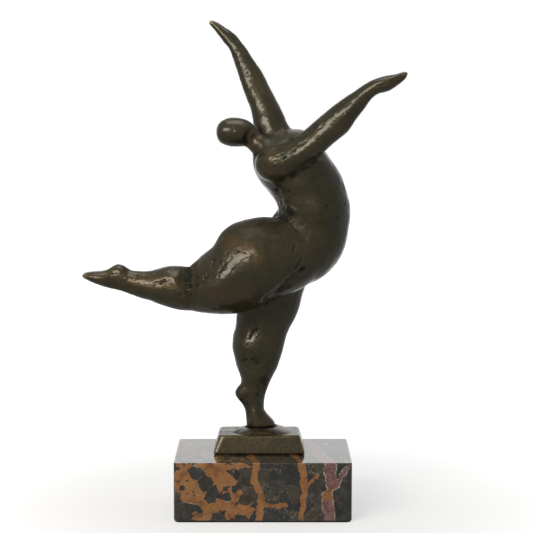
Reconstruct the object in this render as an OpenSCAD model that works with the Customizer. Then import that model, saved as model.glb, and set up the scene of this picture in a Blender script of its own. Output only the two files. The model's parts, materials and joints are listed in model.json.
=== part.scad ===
// Bronze statuette of an arching dancer, one leg raised behind, on a marble block.
// The origin is the middle of the felt's underside, with X along the block's front,
// Y away from the front and Z up. Millimetres.

/* [Marble block] */
// Width of the block along X
block_w = 121; // [100:1:150]
// Depth of the block along Y
block_d = 80; // [70:1:110]
// Height of the block without its felt
block_h = 40; // [34:1:50]
// Radius of the block's upright corners
block_corner_r = 4; // [1:0.5:5]
// Width of the polished bevel along the block's edges
arris = 0.7; // [0.4:0.1:1]
// Diameter of the counterbores that hide the nuts
counterbore_d = 18; // [16:1:22]
// Depth of those counterbores
counterbore_h = 14; // [12:1:18]

/* [Felt] */
// Thickness of the felt glued under the block
felt_t = 1; // [0.5:0.5:2]

/* [Bronze base] */
// Length of the cast base along its lower edge
base_l = 64; // [62:1:70]
// Depth of the cast base along its lower edge
base_d = 40; // [38:1:46]
// Height of the cast base
base_h = 13; // [12:1:16]
// How far the ends lean in from bottom to top
end_lean = 4.2; // [2:0.2:5]
// How far the long sides lean in from bottom to top
side_lean = 3.8; // [2:0.2:5]
// Distance between the two studs
stud_pitch = 42; // [40:1:44]

/* [Castings] */
// Wall of the hollow castings
wall = 3.5; // [3:0.5:4]
// Flat facets round the torso and the raised thigh
body_facets = 30; // [24:2:36]
// Flat facets round the other limbs
limb_facets = 20; // [18:2:26]

/* [Hidden] */

block_top = felt_t + block_h;
base_x = -2.6;
base_y = 5;
base_top = block_top + base_h;
base_wall = 3.5;
core_facets = 18;
steps = 2; // rings to a rib
far = 400;
gap = 0.1; // clearance round spigots, rods and pins

stud_d = 6;
stud_hole_d = 7;
stud_grip = 9; // length of stud inside its boss
washer_d = 14;
washer_t = 1.6;
nut_across = 10;
nut_h = 5;
boss_d = 12;
stud_x = [-stud_pitch / 2, stud_pitch / 2];

// The threaded rod up the ankle, with heights above the top of the bronze base
foot_rod_at = [-6, 8];
foot_rod_top = 44;
foot_rod_tail = 5; // of rod below the washer's seat, without the nut's height

pin_d = 3;
neck_pin_d = 2;
plug_d = 4;
plug_l = 3.2;

// Every casting ends at a flat joint. Each joint has a point, [x, z], and the direction
// in degrees up from +X in which the outer casting lies.
hip = [[-12.5, 117], 162];
knee = [[-49, 102], 180];
shoulder_r = [[44, 212.5], 27];
shoulder_l = [[3, 223], 90];
neck = [[-9, 207], 153];
leg_top = [[3, 84], -90];

// Depths (Y) at which those joints' spigots lie
hip_y = -14;
knee_y = -13;
shoulder_r_y = -31;
shoulder_l_y = 23;
leg_y = 14;

// Spigot diameters, and how deep each enters the inner casting
hip_d = 30;
leg_d = 22;
knee_d = 14;
arm_d = 9;
neck_d = 7;
hip_l = 10;
knee_l = 8;
arm_l = 9;
neck_l = 8;

mound_ribs = [
    [-26, -0.6, -26, -2.4, 5, 6],
    [-20, 0.8, -20, -3, 5, 11],
    [-12, 2.8, -12, -3.2, 5.5, 14.5],
    [-3, 5, -1, -3.3, 6, 15.5],
    [8, 4, 9, -3.3, 6, 15.5],
    [15, 1.8, 15, -3.2, 5.5, 14],
    [20, 0.3, 20, -3, 5, 11],
    [23.5, -0.8, 23.5, -2.4, 5, 6]];

// A rib crosses a limb from one edge of its side view to the other. Its six numbers are
// edge A's x and z, edge B's x and z, then the y of its middle and half its depth.
// Heights are above the top of the bronze base.
torso_ribs = [
    [9, 207.5, 24, 210.5, 14, 5],
    [3, 204.5, 30, 209, 11, 12],
    [-3, 199, 36, 203.5, 4, 20],
    [-6.5, 191, 43, 194.5, 0, 27],
    [-5.5, 183, 50, 185, 0, 29],
    [-1, 175, 55.5, 174, 0, 29],
    [6.5, 166, 59, 162, 0, 28.5],
    [11, 157, 59.5, 150, 0, 29],
    [11, 148, 58, 137, 0, 31],
    [8, 138, 54.5, 125, 0, 32],
    [6, 126, 46.5, 114.5, 0, 29],
    [8, 114, 37, 107, 1, 21],
    [14, 105, 27, 103, 2, 9]];
thigh_ribs = [
    [50, 134, 50, 124, -8, 8],
    [41, 142, 42, 117, -8, 19],
    [31, 147.5, 33, 107, -8, 25.5],
    [18, 150.5, 21, 100, -9, 28.5],
    [5, 151, 9, 96.5, -11.5, 29.5],
    [-6, 150.5, 0, 92, -14, 29],
    [-18, 148, -10, 88, -15, 28],
    [-28, 140.5, -19, 86, -15, 27],
    [-33.5, 131, -29, 85.7, -15, 25],
    [-41.5, 125, -38, 86.4, -14, 21],
    [-48.5, 118, -47, 87.5, -13, 17],
    [-53, 111, -53, 89.5, -13, 10]];
lower_leg_ribs = [
    [-42, 113, -43, 91, -13, 9],
    [-50, 116, -49, 87.5, -13, 13.5],
    [-57, 117.5, -56, 88, -13, 15],
    [-63.5, 117.8, -63, 89.7, -13, 14.5],
    [-71, 116, -70.5, 92.2, -13, 13],
    [-79, 114.2, -78.5, 95, -13, 11],
    [-86, 114.3, -86, 97.3, -13, 9],
    [-91, 114.8, -91.5, 99.2, -13, 7.8],
    [-95, 117.8, -96, 100.7, -13, 7.2],
    [-99, 119.2, -100, 101.8, -13, 7],
    [-103, 117.6, -104, 102.7, -13, 7.2],
    [-107, 115.2, -108, 104, -13, 7.6],
    [-113, 114.3, -113.5, 106.2, -13, 7.8],
    [-119, 113.8, -119, 108.5, -13, 6.6],
    [-123.5, 112.8, -123.5, 110.2, -13, 3.6]];
standing_leg_ribs = [
    [14, 161, 27, 159, 12, 7],
    [9, 153, 31, 151, 13, 14],
    [1.5, 141, 35, 139, 15, 19],
    [-6, 130, 38, 127, 16, 23],
    [-11, 118, 36, 116, 16, 23],
    [-14.5, 107, 31.5, 107.5, 15.5, 22],
    [-17, 95, 27.5, 95.5, 15, 20.5],
    [-18, 84.5, 25.3, 85.5, 14, 20],
    [-18.7, 76, 21.5, 77, 13, 18.5],
    [-20, 68, 17, 68, 12, 17.5],
    [-21, 60.5, 15, 61, 11, 17],
    [-20, 52.5, 13, 53, 11, 16],
    [-18, 44, 9.7, 44.5, 10, 13.5],
    [-15.3, 36.8, 5.8, 37.3, 9, 11],
    [-14.7, 33.2, 4, 33.2, 9, 9.8],
    [-17.5, 30.8, 2.7, 29.6, 8, 8.6],
    [-18.8, 26.6, 1.4, 25.6, 8, 8],
    [-17.3, 22.8, 0.6, 22, 8, 8],
    [-14, 19, 0.4, 18, 8, 8],
    [-12.3, 14.5, 0.6, 14.5, 7, 8.3],
    [-11.7, 9.5, 4.4, 10, 7, 9.2],
    [-11.2, 5, 8.8, 5.2, 7, 10.5],
    [-11.5, 1, 9.8, 1, 7, 11.5]];
right_arm_ribs = [
    [-5, 188, -4, 182.5, -14, 4],
    [-4, 192.5, -1, 179, -16, 8],
    [0, 197.5, 5, 176.5, -19, 11],
    [9, 200, 13, 178, -22, 12.5],
    [16.5, 203, 21.5, 182.5, -25, 12],
    [24.5, 207.5, 30.5, 188.5, -27.5, 11],
    [32, 214, 40, 196, -29.5, 10.5],
    [40, 221, 48.5, 204, -31, 10],
    [48.5, 228, 57, 211, -32.5, 9.5],
    [56.5, 233.5, 62, 219, -34, 8],
    [63, 238, 67.5, 226.3, -35, 6.5],
    [69, 242, 72, 232.3, -36, 6],
    [74.5, 245, 76.3, 235.4, -37, 6.5],
    [81.5, 247, 83.3, 237.4, -38, 6.5],
    [88, 248, 89.3, 241.2, -39, 5],
    [93, 249.5, 93.8, 245.2, -40, 3],
    [95, 250, 95.5, 248.5, -40.5, 1]];
left_arm_ribs = [
    [4, 186, 14, 184, 15, 5],
    [-1, 191, 19, 189, 17, 9],
    [-4, 198, 22, 196, 18.5, 11.5],
    [-5, 206, 21.5, 204.5, 20, 12],
    [-6.5, 214.5, 17.5, 213.5, 21.5, 11.5],
    [-8, 223.5, 13.5, 222.5, 24, 10.5],
    [-11, 232, 8.5, 232, 27, 9.5],
    [-14.5, 240.5, 4, 240.5, 30, 8.5],
    [-17.5, 250, -0.5, 250, 33, 7.5],
    [-20.5, 258.5, -7, 258.5, 35.5, 6.5],
    [-23, 265.5, -12, 266.5, 37.5, 5],
    [-27.5, 271, -17, 273.5, 39, 4],
    [-32, 277.5, -24, 279.5, 40.5, 3.5],
    [-36.5, 283, -32, 284.5, 42, 2.5],
    [-39, 286, -38.5, 286.5, 42.5, 1]];
head_ribs = [
    [-31, 211, -31, 207, 0, 4],
    [-30, 214.5, -30, 203.5, 0, 7],
    [-27, 217, -27, 201, 0, 9.5],
    [-22, 218.3, -22, 199.6, 0, 11],
    [-16, 218.3, -16, 199.5, 0, 11],
    [-10, 216.3, -11, 200.5, 0, 10],
    [-6, 213, -7.5, 203, 0, 8],
    [-4.5, 210.5, -5, 207, 0, 4]];
neck_ribs = [
    [-14, 211, -16, 202.5, 0, 6],
    [-8, 210.5, -11.5, 199.5, 0, 6.5],
    [-3, 208.5, -8, 196.5, 0, 7.5],
    [3, 205.5, -4, 192.5, 0, 10],
    [10, 202, 2, 187, 0, 13]];

// Catmull-Rom curve through the rows of a table, t counting rows from 0
function row(table, i) = table[max(0, min(len(table) - 1, i))];
function along(table, t) =
    let (i = min(floor(t), len(table) - 2), u = t - i,
         p0 = row(table, i - 1), p1 = row(table, i), p2 = row(table, i + 1), p3 = row(table, i + 2))
    0.5 * (2 * p1 + u * (p2 - p0) + u * u * (2 * p0 - 5 * p1 + 4 * p2 - p3)
        + u * u * u * (3 * p1 - p0 - 3 * p2 + p3));

// The ring of points that a rib stands for, drawn in by inset
function ring(rib, n, inset) =
    let (a = [rib[0], rib[4], rib[1]], b = [rib[2], rib[4], rib[3]],
         half = norm(b - a) / 2, to_b = (b - a) / (2 * half), middle = (a + b) / 2)
    [for (k = [0:n - 1])
        let (w = 360 * k / n)
        middle + to_b * (half - inset) * cos(w) + [0, (rib[5] - inset) * sin(w), 0]];

// Which way round the rings run, seen from the rib that a loft starts at
function turns_left(ribs) =
    let (edge = [ribs[0][2] - ribs[0][0], ribs[0][3] - ribs[0][1]],
         onward = [ribs[1][0] - ribs[0][0], ribs[1][1] - ribs[0][1]])
    edge[0] * onward[1] - edge[1] * onward[0] > 0;

// A loft through the ribs. An inset one is a casting's core, which stops short of the end ribs.
module loft(ribs, n, inset = 0) {
    if (inset == 0) skin(ribs, n, 0);
    else skin([for (i = [1:len(ribs) - 2]) ribs[i]], core_facets, inset);
}

module skin(ribs, n, inset) {
    count = (len(ribs) - 1) * steps;
    rings = [for (i = [0:count]) ring(along(ribs, i / steps), n, inset)];
    sides = [for (i = [0:count - 1], k = [0:n - 1])
        let (a = i * n + k, b = i * n + (k + 1) % n, c = a + n, d = b + n)
        each [[a, b, d], [a, d, c]]];
    start = [for (k = [1:n - 2]) [0, k + 1, k]];
    last = count * n;
    end = [for (k = [1:n - 2]) [last, last + k, last + k + 1]];
    faces = concat(sides, start, end);
    polyhedron(
        points = [for (r = rings) each r],
        faces = turns_left(ribs) ? [for (f = faces) [f[0], f[2], f[1]]] : faces,
        convexity = 6);
}

module in_figure() translate([0, 0, base_top]) children();

// Turns +X onto a joint's direction and puts the origin on the joint, at depth y
module at_joint(joint, y = 0) {
    translate([joint[0][0], y, joint[0][1]]) rotate([0, -joint[1], 0]) children();
}

// All the space more than x past a joint
module beyond(joint, x = 0) at_joint(joint) translate([x, -far / 2, -far / 2]) cube(far);

module outside(joint, x = 0) intersection() {
    children();
    beyond(joint, x);
}

module inside(joint, x = 0) difference() {
    children();
    beyond(joint, x);
}

// A round bar along a joint's direction, from x0 to x1 past the joint
module bar(joint, y, d, x0, x1) at_joint(joint, y)
    translate([x0, 0, 0]) rotate([0, 90, 0]) cylinder(d = d, h = x1 - x0, $fn = 48);

// A pin along Y from y0 to y1, a distance x past the joint and up across its face
module pin(joint, x, y0, y1, d = pin_d, up = 0) at_joint(joint, y0)
    translate([x, 0, up]) rotate([-90, 0, 0]) cylinder(d = d, h = y1 - y0, $fn = 24);

module plug(x, z, y0, d = plug_d) translate([x, y0, z]) rotate([-90, 0, 0])
    cylinder(d = d, h = plug_l, $fn = 24);

module torso_form(inset = 0) loft(torso_ribs, body_facets, inset);
module thigh_form(inset = 0) loft(thigh_ribs, body_facets, inset);
module lower_leg_form(inset = 0) loft(lower_leg_ribs, limb_facets, inset);
module standing_form(inset = 0) loft(standing_leg_ribs, limb_facets, inset);
module right_arm_form() loft(right_arm_ribs, limb_facets);
module left_arm_form() loft(left_arm_ribs, limb_facets);
module neck_form() loft(neck_ribs, limb_facets);
module head_form() loft(head_ribs, limb_facets);
module mound_form() loft(mound_ribs, limb_facets);

// Marble block

module outline(w, d, r) {
    square([w - 2 * r, d], center = true);
    square([w, d - 2 * r], center = true);
    for (x = [-1, 1], y = [-1, 1])
        translate([x * (w / 2 - r), y * (d / 2 - r)]) circle(r = r, $fn = 32);
}

// A rectangle w by h standing on the X axis, its corners cut off by c
module bevelled(w, h, c) polygon([
    [-w / 2 + c, 0], [w / 2 - c, 0], [w / 2, c], [w / 2, h - c],
    [w / 2 - c, h], [-w / 2 + c, h], [-w / 2, h - c], [-w / 2, c]]);

module at_studs(z) for (x = stud_x) translate([base_x + x, base_y, z]) children();

module felt_pad() color("#161616")
    linear_extrude(felt_t) outline(block_w - 2 * arris, block_d - 2 * arris, block_corner_r);

module marble_block() color("#8a5a34") difference() {
    translate([0, 0, felt_t]) intersection() {
        linear_extrude(block_h) outline(block_w, block_d, block_corner_r);
        rotate([90, 0, 0]) translate([0, 0, -far / 2])
            linear_extrude(far) bevelled(block_w, block_h, arris);
        rotate([90, 0, 90]) translate([0, 0, -far / 2])
            linear_extrude(far) bevelled(block_d, block_h, arris);
    }
    at_studs(0) cylinder(d = stud_hole_d, h = far, $fn = 48);
    at_studs(0) cylinder(d = counterbore_d, h = felt_t + counterbore_h, $fn = 48);
}

// Studs that hold the bronze base to the block

washer_z = felt_t + counterbore_h - washer_t;

module ring_of(d, h, bore) difference() {
    cylinder(d = d, h = h, $fn = 48);
    translate([0, 0, -1]) cylinder(d = bore, h = h + 2, $fn = 48);
}

module hex_nut() difference() {
    cylinder(d = nut_across / cos(30), h = nut_h, $fn = 6);
    translate([0, 0, -1]) cylinder(d = stud_d, h = nut_h + 2, $fn = 48);
}

module base_studs() color("silver") at_studs(washer_z - nut_h - 2)
    cylinder(d = stud_d, h = block_top + stud_grip - washer_z + nut_h + 2, $fn = 48);

module base_washers() color("silver") at_studs(washer_z) ring_of(washer_d, washer_t, stud_d + gap);

module base_nuts() color("silver") at_studs(washer_z - nut_h) hex_nut();

// Bronze base

module tapered(inset, h) hull() {
    translate([base_x, base_y, 0]) linear_extrude(0.01)
        outline(base_l - 2 * inset, base_d - 2 * inset, 1.5);
    translate([base_x, base_y, h - 0.01]) linear_extrude(0.01)
        outline(base_l - 2 * (inset + end_lean), base_d - 2 * (inset + side_lean), 3.5);
}

module bronze_base() color("#5a4a30") difference() {
    union() {
        translate([0, 0, block_top]) tapered(0, base_h);
        in_figure() mound_form();
    }
    difference() {
        translate([0, 0, block_top - 0.01]) tapered(base_wall, base_h - base_wall);
        at_studs(block_top) cylinder(d = boss_d, h = base_h, $fn = 48);
    }
    at_studs(block_top - 1) cylinder(d = stud_d, h = stud_grip + 1, $fn = 48);
    at_foot_rod(-base_h) cylinder(d = stud_d + gap, h = far, $fn = 48);
}

// Threaded rod through the foot

module at_foot_rod(z) in_figure() translate([foot_rod_at[0], foot_rod_at[1], z]) children();

module foot_rod() color("silver") at_foot_rod(-base_wall - washer_t - foot_rod_tail)
    cylinder(d = stud_d, h = foot_rod_top + base_wall + washer_t + foot_rod_tail, $fn = 48);

module foot_washer() color("silver") at_foot_rod(-base_wall - washer_t)
    ring_of(washer_d, washer_t, stud_d + gap);

module foot_nut() color("silver") at_foot_rod(-base_wall - washer_t - nut_h) hex_nut();

// Figure

module hip_pins() for (up = [-9, 9]) pin(hip, -hip_l / 2, hip_y - 22, hip_y - 9, up = up);

module leg_pins() for (up = [-6, 6]) pin(leg_top, -hip_l / 2, leg_y + 5, leg_y + 18, up = up);

module standing_leg() color("#4a4030") in_figure() difference() {
    union() {
        outside(leg_top) standing_form();
        bar(leg_top, leg_y, leg_d - gap, -hip_l, 1);
    }
    inside([[0, 48], -90]) outside(leg_top, 6) standing_form(wall);
    bar(leg_top, leg_y, leg_d - 8, -hip_l - 1, 8);
    leg_pins();
    mound_form();
    translate([foot_rod_at[0], foot_rod_at[1], 0]) cylinder(d = stud_d, h = foot_rod_top, $fn = 48);
}

module standing_hip_pins() color("#b08d57") in_figure() leg_pins();

module torso_skin() {
    torso_form();
    inside(hip) thigh_form();
    inside(leg_top) standing_form();
    inside(shoulder_r) right_arm_form();
    inside(shoulder_l) left_arm_form();
    inside(neck) union() {
        neck_form();
        head_form();
    }
}

module torso_core() {
    torso_form(wall);
    inside(hip, -hip_l - 2) thigh_form(wall);
    inside(leg_top, -hip_l - 2) standing_form(wall);
}

module torso_plugs() {
    for (at = [[35, 153.5], [22, 184]], y = [-27.6, 27.6 - plug_l]) plug(at[0], at[1], y);
}

module torso() color("#4a4030") in_figure() difference() {
    torso_skin();
    torso_core();
    bar(hip, hip_y, hip_d, -hip_l - 6, 1);
    bar(leg_top, leg_y, leg_d, -hip_l - 6, 1);
    bar(shoulder_r, shoulder_r_y, arm_d, -arm_l, 1);
    bar(shoulder_l, shoulder_l_y, arm_d, -arm_l, 1);
    bar(neck, 0, neck_d, -neck_l, 1);
    hip_pins();
    leg_pins();
    shoulder_pin_r();
    shoulder_pin_l();
    pin_in_neck();
    torso_plugs();
}

module torso_core_plugs() color("#b08d57") in_figure() torso_plugs();

module thigh_plugs() for (y = [-40.4, 10.4 - plug_l]) plug(-23.5, 113, y);

module raised_thigh() color("#4a4030") in_figure() difference() {
    union() {
        inside(knee) outside(hip) union() {
            thigh_form();
            lower_leg_form();
        }
        bar(hip, hip_y, hip_d - gap, -hip_l, 1);
    }
    inside(knee, -knee_l - 2) outside(hip, 5) thigh_form(wall);
    bar(hip, hip_y, hip_d - 8, -hip_l - 1, 8);
    bar(knee, knee_y, knee_d, -knee_l - 6, 1);
    hip_pins();
    pin_in_knee();
    thigh_plugs();
}

module raised_hip_pins() color("#b08d57") in_figure() hip_pins();

module thigh_core_plugs() color("#b08d57") in_figure() thigh_plugs();

module pin_in_knee() pin(knee, -knee_l / 2, knee_y - 13, knee_y + 13);

module raised_lower_leg() color("#4a4030") in_figure() difference() {
    union() {
        outside(knee) union() {
            thigh_form();
            lower_leg_form();
        }
        bar(knee, knee_y, knee_d - gap, -knee_l, 1);
    }
    inside([[-82, 102], 180]) outside(knee, 4) lower_leg_form(wall);
    bar(knee, knee_y, knee_d - 6, -knee_l - 1, 6);
    pin_in_knee();
}

module knee_pin() color("#b08d57") in_figure() pin_in_knee();

module arm(joint, y) {
    outside(joint) children();
    bar(joint, y, arm_d - gap, -arm_l, 1);
}

module shoulder_pin_r() pin(shoulder_r, -arm_l / 2, shoulder_r_y - 8, shoulder_r_y + 9);

module shoulder_pin_l() pin(shoulder_l, -arm_l / 2, shoulder_l_y - 7, shoulder_l_y + 8);

module right_arm() color("#4a4030") in_figure() difference() {
    arm(shoulder_r, shoulder_r_y) right_arm_form();
    shoulder_pin_r();
}

module right_shoulder_pin() color("#b08d57") in_figure() shoulder_pin_r();

module left_arm() color("#4a4030") in_figure() difference() {
    arm(shoulder_l, shoulder_l_y) left_arm_form();
    shoulder_pin_l();
}

module left_shoulder_pin() color("#b08d57") in_figure() shoulder_pin_l();

module pin_in_neck() pin(neck, -neck_l / 2, -5, 5, neck_pin_d);

module head() color("#4a4030") in_figure() difference() {
    union() {
        outside(neck) union() {
            head_form();
            neck_form();
        }
        bar(neck, 0, neck_d - gap, -neck_l, 1);
    }
    pin_in_neck();
}

module neck_pin() color("#b08d57") in_figure() pin_in_neck();

felt_pad();
marble_block();
base_nuts();
base_washers();
base_studs();
bronze_base();
foot_nut();
foot_washer();
foot_rod();
standing_leg();
standing_hip_pins();
torso();
torso_core_plugs();
raised_thigh();
raised_hip_pins();
thigh_core_plugs();
raised_lower_leg();
knee_pin();
right_arm();
right_shoulder_pin();
left_arm();
left_shoulder_pin();
head();
neck_pin();
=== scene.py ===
import json
import math

import bmesh
import bpy
import numpy as np
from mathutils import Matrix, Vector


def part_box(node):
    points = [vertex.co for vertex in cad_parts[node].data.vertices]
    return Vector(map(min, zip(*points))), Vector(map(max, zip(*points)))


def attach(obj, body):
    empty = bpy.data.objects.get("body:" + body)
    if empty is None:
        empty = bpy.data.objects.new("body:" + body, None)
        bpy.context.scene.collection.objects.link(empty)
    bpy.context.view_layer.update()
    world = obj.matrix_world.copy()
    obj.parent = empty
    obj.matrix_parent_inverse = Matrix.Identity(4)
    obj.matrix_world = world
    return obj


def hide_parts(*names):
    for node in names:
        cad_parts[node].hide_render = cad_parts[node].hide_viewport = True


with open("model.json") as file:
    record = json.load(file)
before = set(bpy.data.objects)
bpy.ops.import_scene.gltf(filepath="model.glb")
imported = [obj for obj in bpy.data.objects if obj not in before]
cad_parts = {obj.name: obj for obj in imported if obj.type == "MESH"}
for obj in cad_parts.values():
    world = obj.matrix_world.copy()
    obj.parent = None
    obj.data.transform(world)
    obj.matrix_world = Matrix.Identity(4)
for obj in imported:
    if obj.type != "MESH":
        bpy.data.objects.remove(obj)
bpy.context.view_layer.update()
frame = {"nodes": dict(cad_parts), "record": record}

import openvdb as vdb
from mathutils import Vector
from mathutils.bvhtree import BVHTree

scene = bpy.context.scene

MM = 0.001
nodes = frame["nodes"]
CASTINGS = ["torso", "head", "right_arm", "left_arm",
            "raised_thigh", "raised_lower_leg", "standing_leg"]


# ---------------------------------------------------------------- mesh helpers

def triangles_of(obj):
    """A mesh's corners and triangles, as arrays."""
    mesh = obj.data
    mesh.calc_loop_triangles()
    points = np.empty(len(mesh.vertices) * 3)
    mesh.vertices.foreach_get("co", points)
    corners = np.empty(len(mesh.loop_triangles) * 3, np.int32)
    mesh.loop_triangles.foreach_get("vertices", corners)
    return points.reshape(-1, 3), corners.reshape(-1, 3)


def joined_triangles(objects):
    """The triangles of several objects as one soup, with the index of each one's object."""
    points, corners, owner, start = [], [], [], 0
    for index, obj in enumerate(objects):
        p, c = triangles_of(obj)
        points.append(p)
        corners.append(c + start)
        owner.append(np.full(len(c), index))
        start += len(p)
    return np.vstack(points), np.vstack(corners), np.concatenate(owner)


def halved(quads):
    """Each quad as two triangles."""
    return np.vstack([quads[:, [0, 1, 2]], quads[:, [0, 2, 3]]])


def largest_shell(points, quads):
    """Keeps only the connected shell with the most faces."""
    label = np.arange(len(points))
    while True:
        low = label[quads].min(axis=1)
        new = label.copy()
        np.minimum.at(new, quads.ravel(), np.repeat(low, quads.shape[1]))
        new = new[new]
        if (new == label).all():
            break
        label = new
    shell = label[quads[:, 0]]
    names, counts = np.unique(shell, return_counts=True)
    quads = quads[shell == names[counts.argmax()]]
    used, packed = np.unique(quads, return_inverse=True)
    return points[used], packed.reshape(quads.shape)


def edges_of(quads):
    """Each edge once, as a pair of point numbers."""
    pairs = np.vstack([quads[:, [i, (i + 1) % 4]] for i in range(4)])
    pairs.sort(axis=1)
    return np.unique(pairs, axis=0)


def neighbour_mean(points, edges):
    """The mean of each point's neighbours."""
    a, b = edges.T
    size = len(points)
    count = np.bincount(a, minlength=size) + np.bincount(b, minlength=size)
    mean = np.empty_like(points)
    for k in range(points.shape[1]):
        total = np.bincount(a, points[b, k], size) + np.bincount(b, points[a, k], size)
        mean[:, k] = total / count
    return mean


def smooth(points, edges, passes):
    """Taubin smoothing, which rounds small steps and keeps the volume."""
    for _ in range(passes):
        for step in (0.5, -0.52):
            points = points + (neighbour_mean(points, edges) - points) * step
    return points


def normals_of(points, quads):
    """A unit normal at each point, weighted by the size of the faces round it."""
    a, b, c, d = (points[quads[:, k]] for k in range(4))
    across = np.cross(c - a, d - b)
    normal = np.zeros_like(points)
    for k in range(4):
        for axis in range(3):
            normal[:, axis] += np.bincount(quads[:, k], across[:, axis], len(points))
    return normal / np.linalg.norm(normal, axis=1)[:, None]


def hollowness(points, normals, edges, passes):
    """How far each point lies below the surface round it: positive in a hollow."""
    level = points
    for _ in range(passes):
        level = neighbour_mean(level, edges)
    return ((level - points) * normals).sum(axis=1)


# ---------------------------------------------------------------- figure's skin

VOXEL = 0.66 * MM
COARSE = 2 * VOXEL
MARGIN = 6              # cells of empty space round a form
BAND = 5 * VOXEL        # how far from the surface the distances are kept when forms are blended
FILLET = 2.4 * MM       # radius that fills every crease between the forms
WIDE_FILLET = 24 * MM   # radius at the hips and the near shoulder
EVEN_OUT = 2.6 * MM     # size of the flats that are smoothed away everywhere
MELT = 6.0 * MM         # size of what is smoothed away where the forms melt together
SKIN_SMOOTHING = 6      # passes that take the voxel steps off the skin

# Where the wide fillet acts, where the forms melt together, and where a limb is too slender
# to be evened out, as x, y, z and radius in millimetres
WIDE = [(28, -32, 191, 22), (24, 30, 179, 24), (10, -31, 229, 8), (4, 22, 263, 10),
        (-50, -24, 152, 10)]
MELTED = [(30, -34, 189, 20), (27, -37, 200, 11), (-50, -18, 152, 11), (10, -31, 231, 10),
          (28, -31, 239, 8), (20, 32, 179, 26)]
SLENDER = [(-30, 40, 331, 26), (86, -38, 301, 24), (-106, -13, 165, 18), (-6, 8, 67, 19),
           (-8, 0, 260, 9)]


def level_set(points, corners, voxel, band):
    """A grid of distances to a closed form, kept up to band away from its surface."""
    return vdb.FloatGrid.createLevelSetFromPolygons(
        points.astype(np.float32), triangles=corners.astype(np.uint32),
        transform=vdb.createLinearTransform(voxelSize=voxel), halfWidth=band / voxel)


def surface_of(grid, distance=0):
    """The largest shell of a grid's surface at a distance, as points and quads."""
    points, quads = grid.convertToQuads(isovalue=distance)
    return largest_shell(points.astype(float), quads.astype(np.int64))


def closed_grid(points, corners, voxel, radius):
    """A grid whose surface at -radius is the form with its creases filled to that radius."""
    band = radius + 4 * voxel
    points, quads = surface_of(level_set(points, corners, voxel, band), radius)
    return level_set(points, halved(quads), voxel, band)


def room_for(points, voxel):
    """The lowest cell and the shape of a block that holds the points and a margin."""
    low = np.floor(points.min(axis=0) / voxel).astype(int) - MARGIN
    high = np.ceil(points.max(axis=0) / voxel).astype(int) + MARGIN
    return low, high - low + 1


def block_of(grid, low, shape, shift):
    """A grid's distances as a dense block, less the radius it was grown by."""
    block = np.empty(shape, np.float32)
    grid.copyToArray(block, ijk=tuple(int(i) for i in low))
    return block + np.float32(shift)


def blurred(block, sigma):
    """Gaussian blur along all three axes, with sigma in cells."""
    reach = int(3 * sigma)
    weights = np.exp(-0.5 * (np.arange(-reach, reach + 1) / sigma) ** 2)
    weights /= weights.sum()
    for axis in range(3):
        width = [(reach, reach) if a == axis else (0, 0) for a in range(3)]
        padded = np.pad(block, width, mode="edge")
        total = np.zeros_like(block)
        for shift, weight in enumerate(weights):
            part = [slice(None)] * 3
            part[axis] = slice(shift, shift + block.shape[axis])
            total += np.float32(weight) * padded[tuple(part)]
        block = total
    return block


def doubled(block):
    """A block at twice the resolution."""
    for axis in range(3):
        block = np.moveaxis(block, axis, 0)
        fine = np.empty((2 * len(block) - 1, *block.shape[1:]), np.float32)
        fine[0::2] = block
        fine[1::2] = (block[:-1] + block[1:]) / 2
        block = np.moveaxis(fine, 0, axis)
    return block


def nearness(low, shape, places):
    """1 inside any of the places, falling to 0 outside them."""
    axes = [(low[k] + np.arange(shape[k], dtype=np.float32)) * COARSE / MM for k in range(3)]
    most = np.zeros(shape, np.float32)
    for x, y, z, radius in places:
        square = ((axes[0] - x) ** 2)[:, None, None] + ((axes[1] - y) ** 2)[None, :, None] \
            + ((axes[2] - z) ** 2)[None, None, :]
        most = np.maximum(most, np.exp(-(square / radius ** 2) ** 2))
    return most


def grid_of(block, low, voxel):
    """A block of distances as a grid again."""
    grid = vdb.FloatGrid(float(block.max()))
    grid.copyFromArray(np.ascontiguousarray(block), ijk=tuple(int(i) for i in low))
    grid.transform = vdb.createLinearTransform(voxelSize=voxel)
    return grid


def evened(block, size):
    """The form with everything smaller than size smoothed away, its girth kept."""
    once = blurred(block, size / COARSE)
    return 2 * once - blurred(once, size / COARSE)


def figure_skin():
    """One closed skin over all the castings, with broad blends between the forms."""
    points, corners, _ = joined_triangles([nodes[n] for n in CASTINGS])
    low, shape = room_for(points, COARSE)
    plain = block_of(closed_grid(points, corners, COARSE, FILLET), low, shape, FILLET)
    wide = block_of(closed_grid(points, corners, COARSE, WIDE_FILLET), low, shape, WIDE_FILLET)
    wide, plain = np.clip(wide, -BAND, BAND), np.clip(plain, -BAND, BAND)
    blend = grid_of(plain + nearness(low, shape, WIDE) * (wide - plain), low, COARSE)
    blend_points, blend_quads = blend.convertToQuads(isovalue=0)
    blend = block_of(level_set(blend_points, halved(blend_quads), COARSE, 3 * MELT), low, shape, 0)
    even = evened(blend, EVEN_OUT)
    even += nearness(low, shape, MELTED) * (evened(blend, MELT) - even)
    even += nearness(low, shape, SLENDER) * (blend - even)
    # the change that the blending makes is added to the form at the full resolution
    change = doubled(np.clip(even, -BAND, BAND) - plain)
    fine = block_of(closed_grid(points, corners, VOXEL, FILLET), 2 * low, change.shape, FILLET)
    return surface_of(grid_of(np.clip(fine, -BAND, BAND) + change, 2 * low, VOXEL))


points, quads = figure_skin()
edges = edges_of(quads)
points = smooth(points, edges, SKIN_SMOOTHING)


# ---------------------------------------------------------------- seeded noise

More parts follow.
